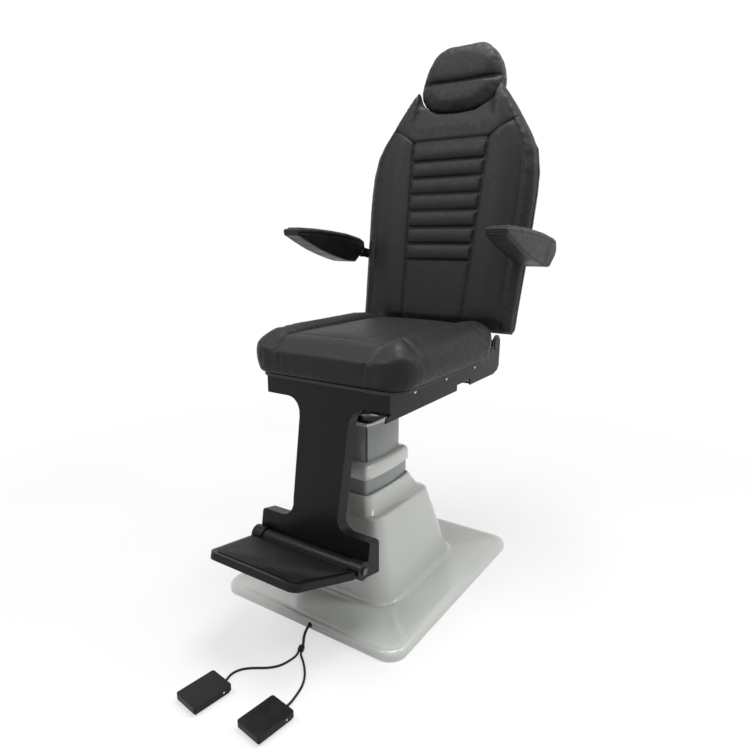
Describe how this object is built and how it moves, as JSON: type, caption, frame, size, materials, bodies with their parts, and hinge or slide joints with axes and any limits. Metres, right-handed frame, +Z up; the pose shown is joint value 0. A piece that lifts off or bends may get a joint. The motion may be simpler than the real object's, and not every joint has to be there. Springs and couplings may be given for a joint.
{
  "type": "ophthalmic examination chair",
  "caption": "Upholstered examination chair on a telescopic swivel column, with reclining back, sliding headrest, lifting armrests, folding foot plate and foot switches.",
  "frame": {"origin": "centre of the base on the floor, at the middle foot", "axes": "+Z up, -Y the way the sitter faces, +X to the sitter's left"},
  "size_m": [0.744, 1.2524, 1.5622],
  "materials": {
    "base_gloss": "smooth gloss",
    "steel_plate": "satin",
    "foot_rubber": "matt",
    "column_paint": "satin",
    "motor_paint": "satin",
    "screw_steel": "brushed",
    "box_plastic": "matt",
    "black_plastic": "matt",
    "cord_rubber": "matt",
    "switch_plastic": "fine grain",
    "guide_plastic": "smooth",
    "bearing_steel": "ground",
    "brass": "turned",
    "black_steel": "fine powder coat",
    "plywood": "stained black",
    "leather": "soft sheen",
    "shell_plastic": "satin",
    "chrome": "polished",
    "arm_plastic": "satin",
    "pad_plastic": "soft sheen",
    "mat_rubber": "dimpled"
  },
  "bodies": {
    "stand": {"floor_plate": "steel_plate", "base_feet": "foot_rubber", "base_cover": "base_gloss", "pedestal_cover": "base_gloss", "column_outer": "column_paint", "lift_motor": "motor_paint", "lift_screw": "screw_steel", "control_box": "box_plastic", "mains_inlet": "black_plastic", "cord_gland": "black_plastic", "cord_main": "cord_rubber", "cord_splitter": "cord_rubber", "cord_left": "cord_rubber", "cord_right": "cord_rubber", "switch_case_left": "switch_plastic", "switch_case_right": "switch_plastic", "switch_pins": "screw_steel", "switch_cells": "black_plastic"},
    "mid_section": {"column_mid": "column_paint", "wiper_ring": "base_gloss"},
    "inner_section": {"column_inner": "column_paint", "inner_guide": "guide_plastic", "column_cap": "base_gloss", "head_plate": "black_steel", "swivel_ring": "bearing_steel", "lift_nut": "brass"},
    "seat": {"turntable": "black_steel", "seat_frame": "black_steel", "rail_screws": "bearing_steel", "flange_bolts": "bearing_steel", "recline_bushes": "black_plastic", "recline_motor": "motor_paint", "seat_board": "plywood", "seat_cushion": "leather", "leg_plate": "black_steel"},
    "foot_rest": {"foot_plate": "black_steel", "foot_mat": "mat_rubber", "foot_pins": "bearing_steel"},
    "backrest": {"back_frame": "black_steel", "recline_shaft": "screw_steel", "back_shell": "shell_plastic", "back_cushion": "leather", "arm_pins": "screw_steel", "post_sockets": "black_plastic"},
    "head_carrier": {"headrest_posts": "chrome", "tilt_axle": "screw_steel"},
    "headrest": {"headrest_shell": "shell_plastic", "headrest_bracket": "black_steel", "headrest_cushion": "leather"},
    "arm_left": {"armrest_left": "arm_plastic", "arm_pad_left": "pad_plastic", "arm_hub_left": "brass"},
    "arm_right": {"armrest_right": "arm_plastic", "arm_pad_right": "pad_plastic", "arm_hub_right": "brass"},
    "pedal_down": {"pedal_left": "switch_plastic"},
    "pedal_up": {"pedal_right": "switch_plastic"}
  },
  "joints": [
    {"name": "lift", "type": "slide", "parent": "stand", "child": "inner_section", "axis": [0, 0, 1], "range_m": [-0.12, 0.08]},
    {"name": "mid_slide", "type": "slide", "parent": "stand", "child": "mid_section", "axis": [0, 0, 1], "range_m": [-0.0361, 0.0241]},
    {"name": "swivel", "type": "hinge", "parent": "inner_section", "child": "seat", "pos_m": [0, -0.053, 0.51], "axis": [0, 0, 1], "range_deg": [-90, 90]},
    {"name": "foot_fold", "type": "hinge", "parent": "seat", "child": "foot_rest", "pos_m": [0, -0.313, 0.195], "axis": [-1, 0, 0], "range_deg": [0, 75]},
    {"name": "recline", "type": "hinge", "parent": "seat", "child": "backrest", "pos_m": [0, 0.404, 0.64], "axis": [-1, 0, 0], "range_deg": [-5, 70]},
    {"name": "head_slide", "type": "slide", "parent": "backrest", "child": "head_carrier", "axis": [0, 0.1874, 0.9823], "range_m": [0, 0.08]},
    {"name": "head_tilt", "type": "hinge", "parent": "head_carrier", "child": "headrest", "pos_m": [0, 0.54091, 1.43248], "axis": [-1, 0, 0], "range_deg": [0, 30]},
    {"name": "arm_left_lift", "type": "hinge", "parent": "backrest", "child": "arm_left", "pos_m": [0, 0.34991, 0.92223], "axis": [-1, 0, 0], "range_deg": [0, 90]},
    {"name": "arm_right_lift", "type": "hinge", "parent": "backrest", "child": "arm_right", "pos_m": [0, 0.34991, 0.92223], "axis": [-1, 0, 0], "range_deg": [0, 90]},
    {"name": "pedal_left_press", "type": "hinge", "parent": "stand", "child": "pedal_down", "pos_m": [-0.00911, -0.62422, 0.0125], "axis": [0.9914, -0.1305, 0], "range_deg": [0, 3], "stiffness_Nm_per_rad": 6, "springref_deg": -1.72},
    {"name": "pedal_right_press", "type": "hinge", "parent": "stand", "child": "pedal_up", "pos_m": [0.15439, -0.60522, 0.0125], "axis": [0.9914, -0.1305, 0], "range_deg": [0, 3], "stiffness_Nm_per_rad": 6, "springref_deg": -1.72}
  ],
  "couplings": [
    {"joint": "mid_slide", "follows": "lift", "ratio": 0.3}
  ]
}
